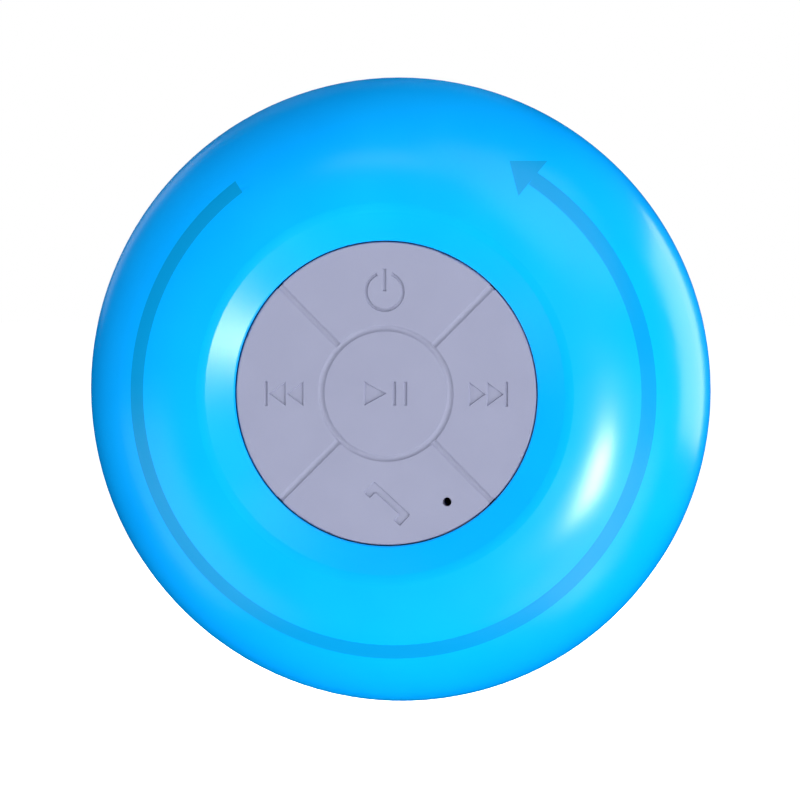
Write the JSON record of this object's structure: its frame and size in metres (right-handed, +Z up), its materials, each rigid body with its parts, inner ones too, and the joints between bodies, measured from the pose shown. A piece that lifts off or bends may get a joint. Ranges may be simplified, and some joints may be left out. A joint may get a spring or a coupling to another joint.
{
  "type": "shower speaker",
  "caption": "Round waterproof speaker with a sunken silicone keypad, a turning arrow on its dome and a bayonet suction cup that holds it to a wall.",
  "frame": {"origin": "centre of the suction cup's rim, on the wall", "axes": "+Y into the wall, the keys face -Y, +Z up towards the power key, +X to the right as the keys are seen"},
  "size_m": [0.086, 0.0549, 0.086],
  "materials": {
    "shell": "smooth semi-gloss ABS, sky blue",
    "arrow_print": "printed band, a shade darker than the shell",
    "keypad": "matte lavender-grey silicone",
    "cup": "smooth soft silicone, lavender-grey",
    "stud": "moulded nylon, off-white",
    "seal": "black silicone",
    "screws": "zinc plated",
    "mesh": "black woven wire",
    "frame_black": "black pressed steel",
    "ferrite": "dark grey ferrite",
    "plated_steel": "yellowish zinc plate",
    "cone_paper": "black pressed paper",
    "surround_rubber": "black foam rubber roll",
    "spider_cloth": "resin-stiffened cloth",
    "former_foil": "amber film on foil",
    "copper": "enamelled copper wire",
    "terminal": "tinned tags on a strip",
    "board_green": "green solder mask",
    "switch_metal": "nickel plated cover",
    "plunger_black": "black nylon",
    "chip_black": "black moulded package",
    "shield_can": "tinned shield",
    "connector_white": "ivory nylon",
    "battery_wrap": "blue film wrap",
    "foam": "black foam",
    "lead_red": "red PVC",
    "lead_black": "black PVC",
    "ribbon_amber": "amber polyimide film",
    "port_metal": "plated shell",
    "led_lens": "clear epoxy lens"
  },
  "bodies": {
    "wall_cup": {"suction_cup": "cup", "cup_stud": "stud"},
    "speaker": {"front_shell": "shell", "arrow_inlay": "arrow_print", "keypad_sheet": "keypad", "rear_shell": "shell", "driver_gasket": "seal", "driver_frame": "frame_black", "driver_magnet": "ferrite", "driver_top_plate": "plated_steel", "driver_yoke": "plated_steel", "driver_terminals": "terminal", "driver_screws": "screws", "circuit_board": "board_green", "board_screws": "screws", "radio_module": "shield_can", "amplifier_chip": "chip_black", "microphone": "shield_can", "microphone_boot": "seal", "board_capacitors": "shield_can", "battery_socket": "connector_white", "speaker_socket": "connector_white", "charge_board": "board_green", "charge_port": "port_metal", "charge_led": "led_lens", "charge_board_screws": "screws", "battery": "battery_wrap", "battery_pad": "foam", "battery_lead_red": "lead_red", "battery_lead_black": "lead_black", "speaker_lead_red": "lead_red", "speaker_lead_black": "lead_black", "charge_ribbon": "ribbon_amber", "cone_surround": "surround_rubber", "coil_spider": "spider_cloth", "shell_seal": "seal", "case_screws": "screws", "neck_washer": "seal", "grille_mesh": "mesh", "switch_power": "switch_metal", "switch_previous": "switch_metal", "switch_play_pause": "switch_metal", "switch_next": "switch_metal", "switch_call": "switch_metal"},
    "cone": {"speaker_cone": "cone_paper", "dust_cap": "cone_paper", "coil_former": "former_foil", "coil_winding": "copper"},
    "key_power": {"key_power": "keypad", "plunger_power": "plunger_black"},
    "key_previous": {"key_previous": "keypad", "plunger_previous": "plunger_black"},
    "key_play_pause": {"key_play_pause": "keypad", "plunger_play_pause": "plunger_black"},
    "key_next": {"key_next": "keypad", "plunger_next": "plunger_black"},
    "key_call": {"key_call": "keypad", "plunger_call": "plunger_black"},
    "plug": {"port_plug": "keypad"}
  },
  "joints": [
    {"name": "body_twist", "type": "hinge", "parent": "wall_cup", "child": "speaker", "pos_m": [0, 0, 0], "axis": [0, -1, 0], "range_deg": [0, 60]},
    {"name": "cone_stroke", "type": "slide", "parent": "speaker", "child": "cone", "axis": [0, 1, 0], "range_m": [-0.0008, 0.0008], "stiffness_N_per_m": 2500, "deforming": ["cone_surround", "coil_spider"]},
    {"name": "plug_pull", "type": "slide", "parent": "speaker", "child": "plug", "axis": [0, 0, -1], "range_m": [0, 0.005]},
    {"name": "key_power_press", "type": "slide", "parent": "speaker", "child": "key_power", "axis": [0, 1, 0], "range_m": [0, 0.0004], "stiffness_N_per_m": 4000},
    {"name": "key_previous_press", "type": "slide", "parent": "speaker", "child": "key_previous", "axis": [0, 1, 0], "range_m": [0, 0.0004], "stiffness_N_per_m": 4000},
    {"name": "key_play_pause_press", "type": "slide", "parent": "speaker", "child": "key_play_pause", "axis": [0, 1, 0], "range_m": [0, 0.0004], "stiffness_N_per_m": 4000},
    {"name": "key_next_press", "type": "slide", "parent": "speaker", "child": "key_next", "axis": [0, 1, 0], "range_m": [0, 0.0004], "stiffness_N_per_m": 4000},
    {"name": "key_call_press", "type": "slide", "parent": "speaker", "child": "key_call", "axis": [0, 1, 0], "range_m": [0, 0.0004], "stiffness_N_per_m": 4000}
  ]
}
